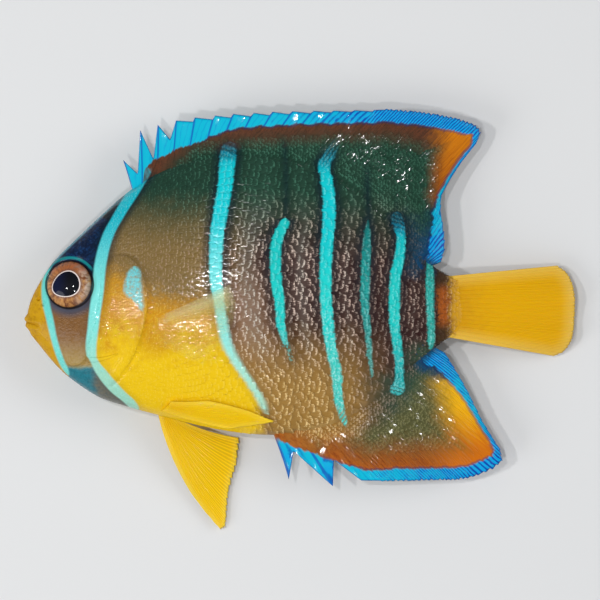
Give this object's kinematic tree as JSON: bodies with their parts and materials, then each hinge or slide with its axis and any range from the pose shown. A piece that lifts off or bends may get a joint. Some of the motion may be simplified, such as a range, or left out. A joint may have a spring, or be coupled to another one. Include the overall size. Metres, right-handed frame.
{
  "type": "blue angelfish",
  "caption": "Young blue angelfish, life size, lying on its right side: deep flat body, spiny and soft back fin, anal, tail, breast and belly fins with raised rays.",
  "frame": {"origin": "centre of the fish's box in X and Y, on the floor that it rests on", "axes": "+X from the snout to the tail, +Y towards the back fin, +Z out of its left side, away from the floor"},
  "size_m": [0.0564, 0.043, 0.0094],
  "materials": {
    "olive_skin": "wet fish skin with fine scales, olive to dark green with cyan bars",
    "yellow_skin": "wet fish skin, yellow",
    "dark_fin": "wet fin, dark green with orange and blue edge",
    "yellow_fin": "wet fin, yellow, a little translucent",
    "eye": "clear wet eye, black pupil in a copper iris"
  },
  "bodies": {
    "root": {"head": "olive_skin", "lower_jaw": "yellow_skin", "gill_cover_left": "yellow_skin", "gill_cover_right": "yellow_skin", "torso": "olive_skin", "tail_stalk": "olive_skin", "dorsal_fin_spiny": "dark_fin", "dorsal_fin_soft": "dark_fin", "anal_fin": "dark_fin", "tail_fin": "yellow_fin", "pectoral_fin_left": "yellow_fin", "pectoral_fin_right": "yellow_fin", "pelvic_fin_left": "yellow_fin", "pelvic_fin_right": "yellow_fin", "eye_left": "eye", "eye_right": "eye"}
  },
  "joints": []
}
